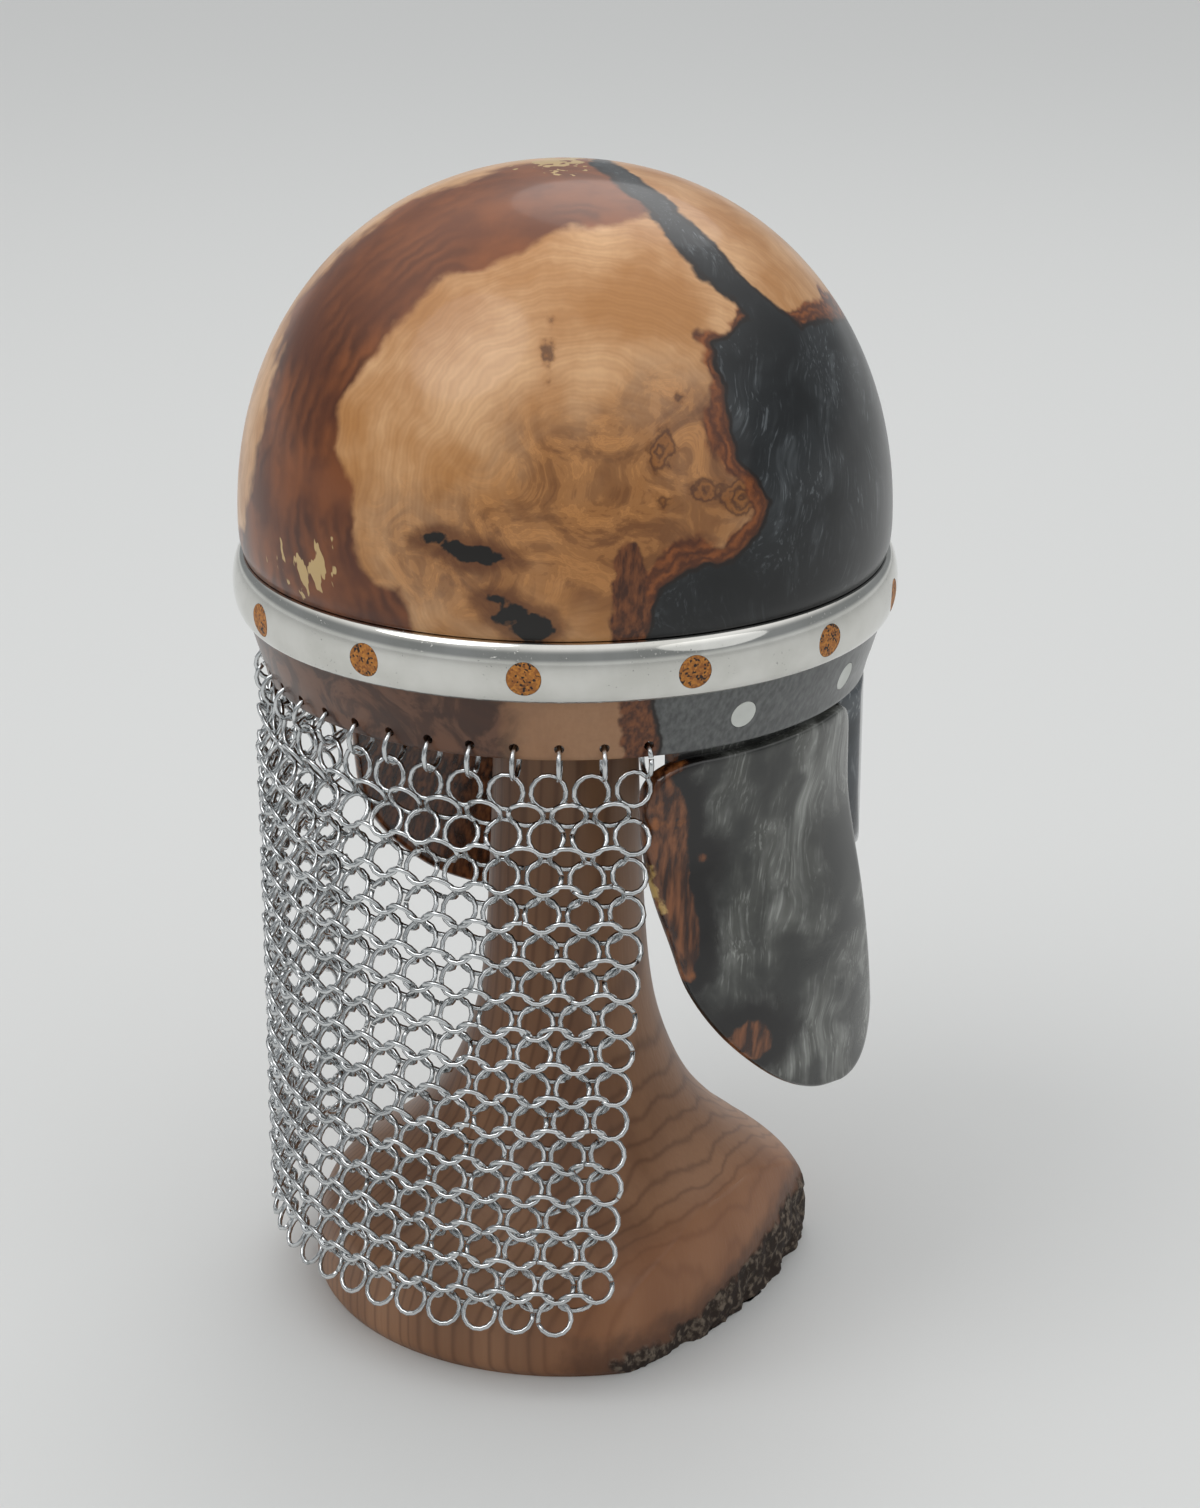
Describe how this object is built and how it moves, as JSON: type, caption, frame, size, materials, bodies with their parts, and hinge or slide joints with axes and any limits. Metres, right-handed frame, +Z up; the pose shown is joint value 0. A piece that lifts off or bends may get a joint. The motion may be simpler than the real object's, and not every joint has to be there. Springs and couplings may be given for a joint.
{
  "type": "gladiator helmet on a stand",
  "caption": "Open gladiator helmet of turned burl wood and resin with a metal band, cheek guards, a face plate and a mail neck curtain, resting on a wooden stand.",
  "frame": {"origin": "middle of the stand's underside, on the floor", "axes": "+Z up, the wearer's face looks along -Y, the wearer's right is -X"},
  "size_m": [0.2332, 0.2316, 0.4115],
  "materials": {
    "burl_wood_and_resin": "satin lacquer over burl wood with dark pearl resin",
    "cast_metal": "polished cast aluminium with fine pits",
    "pin_metal": "flat satin",
    "cork_plug": "granular, sealed flush",
    "pearl_resin": "polished pearl resin with a strip of wood",
    "mail_wire": "bright wire",
    "stand_wood": "satin, with a bark edge"
  },
  "bodies": {
    "root": {"crown": "burl_wood_and_resin", "band": "cast_metal", "cheek_guard_right": "pearl_resin", "cheek_guard_left": "pearl_resin", "face_plate": "pearl_resin", "mail_curtain": "mail_wire", "stand": "stand_wood", "plug_1": "cork_plug", "plug_2": "cork_plug", "plug_3": "cork_plug", "plug_4": "cork_plug", "plug_5": "cork_plug", "plug_6": "cork_plug", "plug_7": "cork_plug", "plug_8": "cork_plug", "plug_9": "cork_plug", "plug_10": "cork_plug", "plug_11": "cork_plug", "plug_12": "cork_plug", "plug_13": "cork_plug", "pin_1": "pin_metal", "pin_2": "pin_metal", "pin_3": "pin_metal", "pin_4": "pin_metal", "pin_5": "pin_metal", "pin_6": "pin_metal", "pin_7": "pin_metal", "hanger_1": "mail_wire", "hanger_2": "mail_wire", "hanger_3": "mail_wire", "hanger_4": "mail_wire", "hanger_5": "mail_wire", "hanger_6": "mail_wire", "hanger_7": "mail_wire", "hanger_8": "mail_wire", "hanger_9": "mail_wire", "hanger_10": "mail_wire", "hanger_11": "mail_wire", "hanger_12": "mail_wire", "hanger_13": "mail_wire", "hanger_14": "mail_wire", "hanger_15": "mail_wire", "hanger_16": "mail_wire", "hanger_17": "mail_wire", "hanger_18": "mail_wire", "hanger_19": "mail_wire"}
  },
  "joints": []
}
